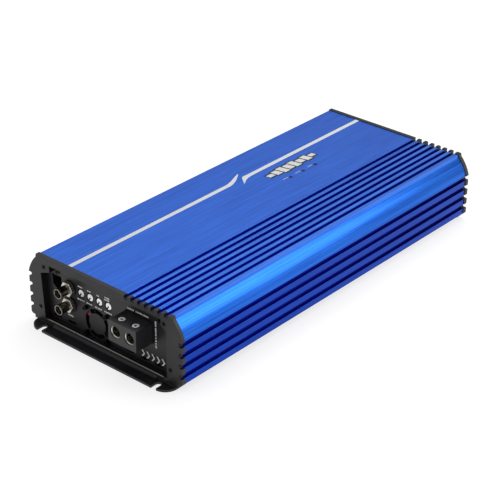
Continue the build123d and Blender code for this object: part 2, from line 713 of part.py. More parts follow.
# ---------------------------------------------------------------- main board and its parts

def main_board():
    front = at_front(9.2)
    rear = -at_front(9.2)
    board = block((-70.4, 70.4), (front, rear), (BOARD_Z, BOARD_TOP_Z))
    board -= block((-80, 10), (front - 1, at_front(24)), (0, 40))
    for x, y in BOARD_SCREWS:
        board -= rod_z(x, y, CLEAR_R, 0, 40)
    return board


def board_screw(x, y):
    screw = rod_z(x, y, 2.8, BOARD_TOP_Z, BOARD_TOP_Z + 2)
    return screw + rod_z(x, y, TAP_R, BOARD_Z - 5, BOARD_TOP_Z)


def can(x, y, radius, height):
    """Electrolytic capacitor with its crimp ring and pressure vent."""
    body = rod_z(x, y, radius, BOARD_TOP_Z, BOARD_TOP_Z + height)
    ring = rod_z(x, y, radius + 1, BOARD_TOP_Z + 2, BOARD_TOP_Z + 3)
    ring -= rod_z(x, y, radius - 0.5, BOARD_TOP_Z, BOARD_TOP_Z + 5)
    top = BOARD_TOP_Z + height
    body -= ring
    return body - cross(x, y, radius * 0.6, top - 0.4, top + 1)


def ring_core(x, y, out_r, in_r, height, lift):
    base = BOARD_TOP_Z + lift
    return rod_z(x, y, out_r, base, base + height) - rod_z(x, y, in_r, 0, 60)


def ring_winding(x, y, out_r, in_r, height, lift, wire, turns):
    """Copper turns round a ring core, one closed loop per turn."""
    base = BOARD_TOP_Z + lift
    near = in_r - WINDING_GAP
    far = out_r + WINDING_GAP
    top = base + height
    outer = block((near - wire, far + wire), (-wire / 2, wire / 2), (base - wire, top + wire))
    inner = block((near, far), (-wire, wire), (base, top))
    loop = outer - inner
    return [Pos(x, y, 0) * Rot(0, 0, 360 * index / turns) * loop for index in range(turns)]


def between(side, first, second):
    """A sorted X pair at two distances in from a side wall."""
    return sorted((side * (WALL_X - first), side * (WALL_X - second)))


def transistor(side, y):
    """Power package flat against the side wall, three legs down to the board."""
    body = block(between(side, PAD_THICK, PAD_THICK + PACKAGE_THICK), (y - 5, y + 5), (25, 40.5))
    for step in LEG_STEPS:
        body += block(between(side, 2.7, 3.2), (y + step - 0.4, y + step + 0.4), (BOARD_TOP_Z, 25.5))
    return body


def transistor_rows():
    rows = []
    for side in (-1, 1):
        for low, _ in BAR_SPANS:
            rows += [(side, low + step) for step in PACKAGE_STEPS]
    return rows


def clamp_bar(side, low, high):
    """Steel bar that presses four packages against the wall."""
    start = PAD_THICK + PACKAGE_THICK
    x = between(side, start, start + BAR_THICK)
    bar = block(x, (low, high), (BAR_Z - 3, BAR_Z + 3))
    for step in BAR_SCREW_STEPS:
        bar -= rod_x(low + step, BAR_Z, CLEAR_R, x[0] - 1, x[1] + 1)
    return bar


def bar_screw(side, y):
    under_head = PAD_THICK + PACKAGE_THICK + BAR_THICK
    head = rod_x(y, BAR_Z, 2.75, *between(side, under_head, under_head + 2.4))
    return head + rod_x(y, BAR_Z, TAP_R - RUNNING, *between(side, -4, under_head))


def thermal_pad(side, low, high):
    pad = block(between(side, 0, PAD_THICK), (low + 12, high - 12), (24, 41.5))
    return pad - rod_x((low + high) / 2, BAR_Z, 1.8, *between(side, -1, 1))


# ---------------------------------------------------------------- write every sub-part

save("heatsink", heatsink())
front_frame = end_frame()
save("front_frame", front_frame)
save("rear_frame", to_rear(front_frame))
frame_screws = [
    socket_screw(x, z, 0.2, FRAME_SCREW_HEAD_R, 1.0, FRAME_SCREW_R - 0.02, FRAME_SCREW_DEPTH, 2.0)
    for x, z in FRAME_SCREWS]
save("front_frame_screws", *frame_screws)
save("rear_frame_screws", *[to_rear(screw) for screw in frame_screws])
panel_screws = [
    socket_screw(x, z, PANEL_DEPTH - 1, 2.1, 1.0, PANEL_SCREW_R, 14, 1.8) for x, z in PANEL_SCREWS]
save("panel_screws", *panel_screws, *[to_rear(screw) for screw in panel_screws])
save("bottom_cover", bottom_cover())
save("cover_screws", *[cover_screw(x, y) for x, y in COVER_SCREWS])
save("front_panel", front_panel())
save("rear_panel", rear_panel())

inserts = [terminal_insert(x) for x in wire_holes()]
housing = terminal_housing()
clamp_top = WIRE_Z + WIRE_R + CLAMP_GAP + CLAMP_LENGTH
clamp_y = at_front(-BLOCK_PROUD) + CLAMP_Y
clamp_screws = [
    clamp_screw(x, clamp_y, CLAMP_R, clamp_top, CLAMP_LENGTH, CLAMP_SOCKET) for x in wire_holes()]
straps = [bus_bar(x) for x in wire_holes()]
save("speaker_block", housing)
save("speaker_terminals", *inserts)
save("speaker_bus_bars", *straps)
save("power_block", to_rear(housing))
save("power_terminals", *[to_rear(piece) for piece in inserts])
save("power_bus_bars", *[to_rear(piece) for piece in straps])
for index, screw in enumerate(clamp_screws, start=1):
    save(f"speaker_clamp_screw_{index}", screw)
    save(f"power_clamp_screw_{index}", to_rear(screw))

save("turn_on_block", to_rear(turn_on_housing()))
save("turn_on_terminal", to_rear(turn_on_cage()))
save("turn_on_screw", to_rear(clamp_screw(
    TURN_ON_X, at_front(0), TURN_ON_SCREW_R, TURN_ON_SCREW_TOP, TURN_ON_SCREW_LENGTH, 1.3)))

save("control_board", control_board())
save("remote_socket", remote_socket())
save("remote_contacts", *remote_contacts())
save("rca_block", rca_block())
save("rca_shells", *[rca_shell(z) for z in RCA_Z])
save("rca_insulators", *[rca_insulator(z) for z in RCA_Z])
save("rca_contacts", *[rca_contact(z) for z in RCA_Z])
save("rca_nuts", *[rca_nut(z) for z in RCA_Z])
save("rca_washers", *[rca_washer(z) for z in RCA_Z])
save("pot_bodies", *[pot_body(x) for x in POT_X])
for name, x in zip(("level", "low_pass", "subsonic", "boost"), POT_X):
    save(f"{name}_pot_shaft", pot_shaft(x))

save("fan_frame", fan_frame())
save("fan_rotor", fan_rotor())
save("fan_screws", *[
    socket_screw(
        x, z, PANEL_DEPTH - FAN_SCREW_HEAD, FAN_SCREW_HEAD_R, FAN_SCREW_HEAD, FAN_SCREW_R,
        PANEL_BACK + FAN_DEPTH, 1.9)
    for x, z in fan_corners()])
save("fan_lead_red", fan_lead(LEAD_APART))
save("fan_lead_black", fan_lead(-LEAD_APART))
save("fan_header", fan_header())

save("status_lenses", *[
    rod_z(STATUS_X, y, STATUS_R, CEILING_Z, HEIGHT - FRAME_PROUD + 0.2) for y in STATUS_Y])
led_face = CEILING_Z - LED_HEIGHT
save("status_leds", *[rod_z(STATUS_X, y, 1.5, led_face, CEILING_Z) for y in STATUS_Y])
save("led_board", block(
    (STATUS_X - 5, STATUS_X + 5), (STATUS_Y[0] - 8, STATUS_Y[2] + 12),
    (led_face - LED_BOARD_THICK, led_face)))
save("led_ribbon", block(
    (STATUS_X - 4, STATUS_X + 4), (STATUS_Y[2] + 8, STATUS_Y[2] + 8.5),
    (BOARD_TOP_Z, led_face - LED_BOARD_THICK)))

save("main_board", main_board())
save("board_screws", *[board_screw(x, y) for x, y in BOARD_SCREWS])
save("choke_cores", *[ring_core(x, y, **CHOKE) for x, y in CHOKES])
save("choke_windings", *[
    turn for x, y in CHOKES for turn in ring_winding(x, y, wire=1.6, turns=16, **CHOKE)])
save("transformer_core", ring_core(*TRANSFORMER, **TRANSFORMER_RING))
save("transformer_winding", *ring_winding(*TRANSFORMER, wire=1.8, turns=24, **TRANSFORMER_RING))
save("rail_capacitors", *[
    can(x, y, 11, 29) for x in (-36, -12, 12, 36) for y in (-66, -40)])
save("input_capacitors", *[
    can(x, 128, 9, 28) for x in (-40, -20, 0, 20, 40)])
save("power_transistors", *[transistor(side, y) for side, y in transistor_rows()])
save("thermal_pads", *[
    thermal_pad(side, low, high) for side in (-1, 1) for low, high in BAR_SPANS])
save("clamp_bars", *[clamp_bar(side, low, high) for side in (-1, 1) for low, high in BAR_SPANS])
save("clamp_bar_screws", *[bar_screw(side, y) for side in (-1, 1) for y in BAR_SCREW_Y])
save("driver_chips", *[
    block((x - 6, x + 6), (y - 4, y + 4), (BOARD_TOP_Z, BOARD_TOP_Z + 2.6))
    for x, y in ((-45, -140), (-12, -135), (40, -90), (-40, 90), (44, 84))])
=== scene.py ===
import math
import random

import bmesh
import bpy
from mathutils import Matrix, Vector


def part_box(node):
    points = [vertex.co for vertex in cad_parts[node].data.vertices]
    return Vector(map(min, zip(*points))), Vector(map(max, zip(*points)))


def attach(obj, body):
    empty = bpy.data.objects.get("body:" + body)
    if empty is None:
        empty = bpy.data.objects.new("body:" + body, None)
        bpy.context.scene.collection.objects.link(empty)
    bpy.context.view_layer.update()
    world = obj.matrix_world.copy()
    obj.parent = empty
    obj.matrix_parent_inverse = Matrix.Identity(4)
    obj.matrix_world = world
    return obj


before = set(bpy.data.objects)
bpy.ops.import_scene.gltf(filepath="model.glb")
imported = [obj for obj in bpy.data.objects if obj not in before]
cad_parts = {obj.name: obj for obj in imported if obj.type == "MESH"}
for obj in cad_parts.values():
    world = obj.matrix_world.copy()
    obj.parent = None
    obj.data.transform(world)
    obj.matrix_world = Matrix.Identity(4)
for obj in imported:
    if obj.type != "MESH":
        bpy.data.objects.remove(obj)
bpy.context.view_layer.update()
MM = 0.001


# ---------------------------------------------------------------- colours

def rgb(red, green, blue):
    """Linear colour of an sRGB one given in 0-255."""
    def linear(value):
        part = value / 255
        return part / 12.92 if part <= 0.04045 else ((part + 0.055) / 1.055) ** 2.4
    return (linear(red), linear(green), linear(blue), 1.0)


DECK_DARK, DECK_LIGHT = rgb(40, 88, 184), rgb(60, 115, 218)
# Fins and shoulders are the same blue painted lighter, a painted highlight tint; the sides are painted
# darker, painted shade.
LIT_FIN_DARK, LIT_FIN_LIGHT = rgb(48, 98, 214), rgb(80, 146, 253)
LIT_SHOULDER_DARK, LIT_SHOULDER_LIGHT = rgb(28, 90, 204), rgb(56, 134, 250)
SHADED_SIDE_DARK, SHADED_SIDE_LIGHT = rgb(0, 46, 148), rgb(2, 68, 186)
# Painted shade in the grooves, darker than the fins beside them.
TOP_GROOVE_SHADE = rgb(0, 60, 176)
SIDE_GROOVE_SHADE = rgb(0, 14, 124)
# A lighter blue along edges: a painted highlight.
BLUE_EDGE_HIGHLIGHT = rgb(90, 150, 255)
# A bright line painted on the foot rail's chamfer: a painted highlight.
RAIL_HIGHLIGHT = rgb(190, 187, 182)
# A paler tone on coated edges: partly worn coating, partly a painted highlight.
RUBBED_AND_GLINT_TONE = rgb(124, 118, 108)
# A paler tone on the end frames' outer shoulders: a painted highlight.
RIM_HIGHLIGHT = rgb(52, 51, 49)
# Painted shade in sunk slots and sockets.
SUNK_SHADE = rgb(22, 22, 24)
FLOOR_DARK, FLOOR_LIGHT = rgb(160, 160, 160), rgb(166, 166, 166)

# Zones of the heatsink, as short fades in metres. A reach is from the middle plane, a level from the floor.
DECK_SIDE, DECK_LEVEL = (0.0231, 0.0234), (0.0596, 0.0602)
TOP_GROOVE_REACH, TOP_GROOVE_LEVEL = (0.0708, 0.0716), (0.0588, 0.0603)
SIDE_GROOVE_REACH, SIDE_GROOVE_LEVEL = (0.0789, 0.0802), (0.0422, 0.0432)
SIDE_REACH, SIDE_LEVEL = (0.0775, 0.0785), (0.0415, 0.0445)
SHOULDER_REACH, SHOULDER_LEVEL = (0.0712, 0.0720), (0.0418, 0.0432)

# Zones of the end frames, in the same way: the chamfer along the foot rail and the outer shoulders, both with
# a painted highlight.
RAIL_REACH, RAIL_FACE = (0.0600, 0.0625), (0.18255, 0.18265)
RAIL_LOW, RAIL_HIGH = (0.00550, 0.00560), (0.00586, 0.00592)
RAIL_HIGHLIGHT_FILL = 0.7                      # how strongly the painted highlight covers it
RIM_REACH, RIM_FACE, RIM_LEVEL = (0.0716, 0.0722), (0.1826, 0.1829), (0.0425, 0.0455)

# Depths where painted shade starts and is full, in a trimmer's slot and a clamp screw's socket: axis, start,
# full.
POT_SUNK = ("Y", -0.1771, -0.1768)
CLAMP_SUNK = ("Z", 0.0430, 0.0426)

MIDDLE = (0.3, 0.7)                  # the band that most of a noise texture's values are in
EDGE_COSINES = (0.65, 0.98)          # of a rounded normal's turn, from a full edge to none
REFRACTION = 1.5


# ---------------------------------------------------------------- node helpers

class Finish:
    """A procedural material: every texture reads the object's own coordinates, in metres."""

    def __init__(self, name, metal=0.0, specular=0.5, coat=0.0, coat_rough=0.1):
        self.material = bpy.data.materials.new(name)
        self.material.use_nodes = True
        self.tree = self.material.node_tree
        self.shader = self.tree.nodes["Principled BSDF"]
        self.shader.inputs["Metallic"].default_value = metal
        self.shader.inputs["Specular IOR Level"].default_value = specular
        self.shader.inputs["IOR"].default_value = REFRACTION
        self.shader.inputs["Coat Weight"].default_value = coat
        self.shader.inputs["Coat Roughness"].default_value = coat_rough
        self.place = self.add("ShaderNodeTexCoord").outputs["Object"]

    def add(self, kind, **settings):
        node = self.tree.nodes.new(kind)
        for key, value in settings.items():
            setattr(node, key, value)
        return node

    def link(self, source, target):
        self.tree.links.new(source, target)

    def put(self, value, socket):
        """Sets a socket to a number or a colour, or links another node's output to it."""
        if isinstance(value, (int, float, tuple)):
            socket.default_value = value
        else:
            self.link(value, socket)

    def scaled(self, scale):
        """The object's coordinates, stretched by one scale or by one for each axis."""
        if isinstance(scale, (int, float)):
            scale = (scale, scale, scale)
        mapping = self.add("ShaderNodeMapping")
        mapping.inputs["Scale"].default_value = scale
        self.link(self.place, mapping.inputs["Vector"])
        return mapping.outputs["Vector"]

    def noise(self, scale, detail=4.0, roughness=0.55):
        node = self.add("ShaderNodeTexNoise")
        node.inputs["Scale"].default_value = 1.0
        node.inputs["Detail"].default_value = detail
        node.inputs["Roughness"].default_value = roughness
        self.link(self.scaled(scale), node.inputs["Vector"])
        return node.outputs["Fac"]

    def cells(self, scale, feature):
        node = self.add("ShaderNodeTexVoronoi", feature=feature)
        node.inputs["Scale"].default_value = 1.0
        self.link(self.scaled(scale), node.inputs["Vector"])
        return node.outputs["Distance"]

    def span(self, source, low, high, source_low=0.0, source_high=1.0):
        """The source's range turned into low to high, with nothing outside."""
        node = self.add("ShaderNodeMapRange")
        node.inputs["From Min"].default_value = source_low
        node.inputs["From Max"].default_value = source_high
        node.inputs["To Min"].default_value = low
        node.inputs["To Max"].default_value = high
        self.link(source, node.inputs["Value"])
        return node.outputs["Result"]

    def above(self, source, fade):
        """0 under the fade's first value, 1 past its second."""
        return self.span(source, 0.0, 1.0, *fade)

    def below(self, source, fade):
        """1 under the fade's first value, 0 past its second."""
        return self.span(source, 1.0, 0.0, *fade)

    def maths(self, operation, first, second):
        node = self.add("ShaderNodeMath", operation=operation)
        self.put(first, node.inputs[0])
        self.put(second, node.inputs[1])
        return node.outputs[0]

    def sum(self, first, second):
        return self.maths("ADD", first, second)

    def product(self, first, second):
        return self.maths("MULTIPLY", first, second)

    def blend(self, factor, first, second):
        """Mix of two colours, from the first at factor 0 to the second at 1."""
        node = self.add("ShaderNodeMix", data_type="RGBA")
        self.put(factor, node.inputs[0])
        self.put(first, node.inputs[6])
        self.put(second, node.inputs[7])
        return node.outputs[2]

    def axis(self, name):
        node = self.add("ShaderNodeSeparateXYZ")
        self.link(self.place, node.inputs[0])
        return node.outputs[name]

    def reach(self, name):
        """Distance from the origin along one axis, either way."""
        return self.maths("ABSOLUTE", self.axis(name), 0.0)

    def rounded(self, radius):
        """The normal as it would be with every edge rounded by the radius."""
        node = self.add("ShaderNodeBevel", samples=4)
        node.inputs["Radius"].default_value = radius
        return node.outputs[0]

    def edges(self, radius):
        """1 along convex and concave edges, 0 on the flats."""
        flat = self.add("ShaderNodeNewGeometry")
        turn = self.add("ShaderNodeVectorMath", operation="DOT_PRODUCT")
        self.link(self.rounded(radius), turn.inputs[0])
        self.link(flat.outputs["Normal"], turn.inputs[1])
        return self.below(turn.outputs["Value"], EDGE_COSINES)

    def relief(self, height, distance, strength, radius=None):
        """Bump from a height, over edges rounded by the radius if one is given."""
        node = self.add("ShaderNodeBump")
        node.inputs["Strength"].default_value = strength
        node.inputs["Distance"].default_value = distance
        self.link(height, node.inputs["Height"])
        if radius:
            self.link(self.rounded(radius), node.inputs["Normal"])
        self.link(node.outputs[0], self.shader.inputs["Normal"])

    def colour(self, source):
        self.link(source, self.shader.inputs["Base Color"])

    def rough(self, source):
        self.link(source, self.shader.inputs["Roughness"])


# ---------------------------------------------------------------- finishes

def anodised():
    """Blue anodised extrusion: a brushed deck beside smoother, drawn fins, shoulders and sides; the zones
    carry painted highlight and painted shade.
    """
    f = Finish("blue_anodised", metal=1.0)
    x, z, reach = f.axis("X"), f.axis("Z"), f.reach("X")
    on_deck = f.product(f.below(x, DECK_SIDE), f.above(z, DECK_LEVEL))
    top_groove = f.product(f.below(reach, TOP_GROOVE_REACH), f.below(z, TOP_GROOVE_LEVEL))
    side_groove = f.product(f.below(reach, SIDE_GROOVE_REACH), f.below(z, SIDE_GROOVE_LEVEL))
    on_side = f.product(f.above(reach, SIDE_REACH), f.below(z, SIDE_LEVEL))
    on_shoulder = f.product(f.above(reach, SHOULDER_REACH), f.above(z, SHOULDER_LEVEL))

    fine = f.noise((1500, 16, 1500), 5, 0.6)
    broad = f.noise((700, 25, 700), 3, 0.5)
    drawn = f.noise((1100, 9, 1100), 5, 0.65)
    streak = f.sum(f.span(fine, -0.6, 0.6), f.span(broad, -0.28, 0.28))
    shade = f.above(drawn, MIDDLE)

    deck = f.blend(f.above(streak, (-0.3, 0.3)), DECK_DARK, DECK_LIGHT)
    # Lit and shaded copies of one blue: fins and shoulders with a painted highlight tint, sides with painted
    # shade.
    fins = f.blend(shade, LIT_FIN_DARK, LIT_FIN_LIGHT)
    shoulders = f.blend(shade, LIT_SHOULDER_DARK, LIT_SHOULDER_LIGHT)
    sides = f.blend(shade, SHADED_SIDE_DARK, SHADED_SIDE_LIGHT)
    smooth = f.blend(on_side, f.blend(on_shoulder, fins, shoulders), sides)
    tone = f.blend(on_deck, smooth, deck)
    # A painted highlight: a lighter blue along every edge.
    tone = f.blend(f.product(f.edges(0.4 * MM), 0.22), tone, BLUE_EDGE_HIGHLIGHT)
    # Painted shade in the top and side grooves.
    tone = f.blend(top_groove, tone, TOP_GROOVE_SHADE)
    f.colour(f.blend(side_groove, tone, SIDE_GROOVE_SHADE))

    deck_rough = f.product(f.span(fine, 0.4, 0.52, *MIDDLE), on_deck)
    rest_rough = f.product(f.span(drawn, 0.26, 0.38, *MIDDLE), f.maths("SUBTRACT", 1.0, on_deck))
    f.rough(f.sum(deck_rough, rest_rough))
    f.relief(f.sum(fine, f.span(drawn, 0.0, 0.6)), 0.01 * MM, 0.6, 0.25 * MM)
    return f.material


def rail_highlight_mask(f):
    """The chamfer along the foot rail under each end panel, as a mask for a painted highlight."""
    z = f.reach("Z")
    face = f.product(f.below(f.reach("X"), RAIL_REACH), f.above(f.reach("Y"), RAIL_FACE))
    return f.product(face, f.product(f.span(z, 0.0, RAIL_HIGHLIGHT_FILL, *RAIL_LOW), f.below(z, RAIL_HIGH)))


def rim_highlight_mask(f):
    """1 on the end frames' outer shoulders, which carry a painted highlight, paler than their faces."""
    outside = f.product(f.above(f.reach("X"), RIM_REACH), f.below(f.reach("Y"), RIM_FACE))
    return f.product(outside, f.above(f.reach("Z"), RIM_LEVEL))


def powder_coat(name, dark, light, smooth, matt, grain, depth, wear_and_glint, radius, end_frame=False):
    """Black coating with a fine orange-peel grain, lighter along edges: partly where edges rub, partly a
    painted highlight.
    """
    f = Finish(name, specular=0.42)
    cloud = f.noise(55, 4, 0.6)
    speck = f.noise(grain, 3, 0.5)
    peel = f.cells(grain * 0.6, "SMOOTH_F1")
    mottle = f.sum(cloud, speck)
    mottle_band = (0.75, 1.3)
    tone = f.blend(f.above(mottle, mottle_band), dark, light)
    # Edges lighter: partly worn coating, partly a painted highlight.
    rubbed_and_glint = f.product(f.edges(radius), f.span(f.noise(260, 5, 0.7), 0.0, wear_and_glint, 0.42, 0.66))
    tone = f.blend(rubbed_and_glint, tone, RUBBED_AND_GLINT_TONE)
    if end_frame:
        # Painted highlight: a bright line on the foot rail's chamfer.
        tone = f.blend(rail_highlight_mask(f), tone, RAIL_HIGHLIGHT)
        # Painted highlight on the outer shoulders.
        tone = f.blend(rim_highlight_mask(f), tone, RIM_HIGHLIGHT)
    f.colour(tone)
    f.rough(f.span(mottle, smooth, matt, *mottle_band))
    f.relief(f.sum(speck, peel), depth, 0.5, radius)
    return f.material


def moulded(name, dark, light, smooth, matt, grain=1300, radius=0.2 * MM):
    """Injection-moulded plastic with a light spark-eroded grain."""
    f = Finish(name, specular=0.45)
    cloud = f.noise(70, 3, 0.5)
    speck = f.noise(grain, 4, 0.6)
    f.colour(f.blend(f.above(f.sum(cloud, speck), (0.75, 1.25)), dark, light))
    f.rough(f.span(speck, smooth, matt, *MIDDLE))
    f.relief(speck, 0.012 * MM, 0.5, radius)
    return f.material


def plated(name, dark, light, smooth, matt, stretch=(900, 260, 900), stain=None, sunk=None, metal=1.0,
           radius=0.12 * MM):
    """Plated or turned metal: fine tool marks, faint stains, and painted shade where it is sunk."""
    f = Finish(name, metal=metal)
    marks = f.noise(stretch, 5, 0.6)
    cloud = f.noise(340, 4, 0.6)
    tone = f.blend(f.above(f.sum(marks, cloud), (0.72, 1.28)), dark, light)
    if stain:
        tone = f.blend(f.span(f.noise(620, 5, 0.7), 0.0, 0.55, 0.55, 0.72), tone, stain)
    if sunk:
        axis, start, full = sunk
        # Painted shade in sunk slots and sockets.
        tone = f.blend(f.above(f.axis(axis), (start, full)), tone, SUNK_SHADE)
    f.colour(tone)
    f.rough(f.span(marks, smooth, matt, *MIDDLE))
    f.relief(marks, 0.006 * MM, 0.5, radius)
    return f.material


def solder_mask():
    """Green circuit board: weave under the mask, traces and pads over it."""
    f = Finish("board_green", coat=0.3, coat_rough=0.2)
    wave = f.add("ShaderNodeTexWave", wave_type="BANDS", bands_direction="DIAGONAL")
    wave.inputs["Scale"].default_value = 900.0
    wave.inputs["Distortion"].default_value = 1.2
    f.link(f.place, wave.inputs["Vector"])
    weave = wave.outputs["Fac"]
    tracks = f.cells((260, 95, 260), "DISTANCE_TO_EDGE")
    ground = f.blend(f.span(weave, 0.0, 0.6), rgb(10, 70, 34), rgb(22, 98, 50))
    f.colour(f.blend(f.span(tracks, 0.7, 0.0, 0.02, 0.09), ground, rgb(58, 128, 66)))
    f.rough(f.span(f.noise(400, 3), 0.26, 0.44))
    f.relief(f.sum(tracks, weave), 0.02 * MM, 0.35)
    return f.material


def enamelled_copper():
    """Winding wire under clear enamel."""
    f = Finish("copper", metal=0.85, coat=0.6, coat_rough=0.15)
    strands = f.noise((700, 700, 240), 4, 0.6)
    f.colour(f.blend(f.above(strands, MIDDLE), rgb(122, 58, 26), rgb(206, 118, 62)))
    f.rough(f.span(strands, 0.25, 0.42))
    f.relief(strands, 0.08 * MM, 0.6)
    return f.material


def sintered(name, dark, light):
    """Pressed powder core: matt and finely pored."""
    f = Finish(name, specular=0.35)
    pores = f.noise(1500, 6, 0.7)
    cloud = f.noise(90, 4, 0.6)
    f.colour(f.blend(f.above(f.sum(pores, cloud), (0.7, 1.3)), dark, light))
    f.rough(f.span(pores, 0.55, 0.8, *MIDDLE))
    f.relief(pores, 0.03 * MM, 0.6)
    return f.material


def clear_plastic(name, dark, light, smooth, coat=0.5):
    """Smooth lacquered, sleeved or clear plastic."""
    f = Finish(name, specular=0.4, coat=coat, coat_rough=0.08)
    cloud = f.noise(500, 4, 0.6)
    f.colour(f.blend(f.above(cloud, MIDDLE), dark, light))
    f.rough(f.span(cloud, smooth, smooth + 0.08))
    f.relief(f.noise(1600, 3), 0.008 * MM, 0.4)
    return f.material


def ink(name, dark, light):
    """Screen-printed ink: slightly uneven, matt."""
    f = Finish(name, specular=0.3)
    film = f.noise(900, 5, 0.65)
    f.colour(f.blend(f.above(film, MIDDLE), dark, light))
    f.rough(f.span(film, 0.45, 0.62, *MIDDLE))
    f.relief(film, 0.006 * MM, 0.4)
    return f.material


FINISHES = {
    "blue_anodised": anodised(),
    "black_cast": powder_coat("black_cast", rgb(7, 8, 12), rgb(18, 19, 25), 0.4, 0.54, grain=2400,
                              depth=0.03 * MM, wear_and_glint=0.8, radius=0.6 * MM, end_frame=True),
    "black_sheet": powder_coat("black_sheet", rgb(8, 9, 12), rgb(20, 21, 25), 0.38, 0.52, grain=3200,
                               depth=0.016 * MM, wear_and_glint=0.35, radius=0.25 * MM),
    "black_oxide": plated("black_oxide", rgb(22, 22, 24), rgb(46, 46, 50), 0.3, 0.46),
    "black_plastic": moulded("black_plastic", rgb(8, 8, 10), rgb(20, 20, 23), 0.36, 0.52),
    "bright_nickel": plated("bright_nickel", rgb(176, 172, 162), rgb(232, 228, 218), 0.16, 0.3,
                            stain=rgb(120, 112, 98)),
    "dark_nickel": plated("dark_nickel", rgb(98, 94, 84), rgb(152, 148, 136), 0.14, 0.28,
                          stain=rgb(60, 55, 46)),
    "white_insulator": moulded("white_insulator", rgb(196, 192, 180), rgb(222, 219, 208), 0.4, 0.55),
    "pot_metal": plated("pot_metal", rgb(212, 212, 212), rgb(246, 246, 246), 0.3, 0.44,
                        stretch=(700, 700, 700), sunk=POT_SUNK),
    "zinc_steel": plated("zinc_steel", rgb(150, 152, 156), rgb(208, 210, 212), 0.24, 0.4,
                         stain=rgb(118, 116, 104)),
    "board_green": solder_mask(),
    "copper": enamelled_copper(),
    "ferrite": sintered("ferrite", rgb(44, 44, 47), rgb(70, 70, 74)),
    "core_yellow": sintered("core_yellow", rgb(188, 164, 42), rgb(218, 198, 84)),
    "can_sleeve": clear_plastic("can_sleeve", rgb(14, 22, 46), rgb(24, 36, 66), 0.22),
    "smoke_lens": clear_plastic("smoke_lens", rgb(1, 1, 12), rgb(2, 3, 24), 0.5, coat=0.0),
    "led_clear": clear_plastic("led_clear", rgb(150, 172, 214), rgb(196, 214, 240), 0.12),
    "red_pvc": moulded("red_pvc", rgb(250, 44, 44), rgb(255, 70, 66), 0.34, 0.48, grain=900),
    "black_pvc": moulded("black_pvc", rgb(18, 18, 19), rgb(30, 30, 32), 0.38, 0.52, grain=900),
    "grey_pad": moulded("grey_pad", rgb(112, 114, 120), rgb(142, 144, 150), 0.7, 0.85, grain=700),
    "tin_plate": plated("tin_plate", rgb(168, 168, 162), rgb(214, 214, 208), 0.3, 0.46,
                        stretch=(300, 900, 300), stain=rgb(128, 124, 112)),
}
TERMINAL = plated("terminal_plate", rgb(168, 165, 156), rgb(226, 223, 214), 0.22, 0.36, stain=rgb(96, 92, 82))
NUT = plated("nut_plate", rgb(176, 172, 162), rgb(236, 232, 222), 0.2, 0.34, stain=rgb(104, 98, 86))
CLAMP = plated("clamp_plate", rgb(222, 221, 216), rgb(252, 251, 247), 0.4, 0.54, sunk=CLAMP_SUNK, metal=0.3,
               radius=0.3 * MM)
BLOCK = moulded("block_plastic", rgb(22, 23, 26), rgb(36, 37, 40), 0.36, 0.5, radius=0.4 * MM)
WHITE_INK = ink("white_ink", rgb(206, 208, 209), rgb(220, 222, 223))
LABEL_INK = ink("label_ink", rgb(196, 197, 194), rgb(224, 225, 221))
FAINT_INK = ink("faint_ink", rgb(156, 162, 178), rgb(186, 192, 206))
BLACK_INK = ink("black_ink", rgb(12, 12, 16), rgb(24, 24, 30))

# Nodes whose finish differs from that of the others made of the same stuff.
NODE_FINISHES = {
    "rca_nuts": NUT,
    "speaker_block": BLOCK, "power_block": BLOCK, "turn_on_block": BLOCK,
    "speaker_terminals": TERMINAL, "power_terminals": TERMINAL, "turn_on_terminal": TERMINAL,
    "speaker_clamp_screw_1": CLAMP, "speaker_clamp_screw_2": CLAMP,
    "power_clamp_screw_1": CLAMP, "power_clamp_screw_2": CLAMP, "turn_on_screw": CLAMP,
}

for name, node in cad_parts.items():
    for slot in node.material_slots:
        stuff = slot.material.name.split(".")[0]
        slot.material = NODE_FINISHES.get(name, FINISHES[stuff])


# ---------------------------------------------------------------- printed marks, in millimetres

INK_THICK = 0.05 * MM
RIGHT, LEFT, BACK, UP = (1, 0, 0), (-1, 0, 0), (0, 1, 0), (0, 0, 1)
DASH_WIDTHS = (0.7, 1.5)
DASH_HEIGHTS = (0.7, 1.0)            # as parts of the row's height
LEAST_ROOM = 0.8                     # the room at a row's end that still takes a dash

# The gaps that a row draws from: mostly narrow, with a wide one now and then, or all the same.
WORD_GAPS = (0.35, 0.35, 0.35, 1.0)
SHORT_WORD_GAPS = (0.4, 0.4, 1.0)
WIDE_WORD_GAPS = (0.4, 0.4, 1.2)
CLOSE_GAPS = (0.3,)
OPEN_GAPS = (0.35,)


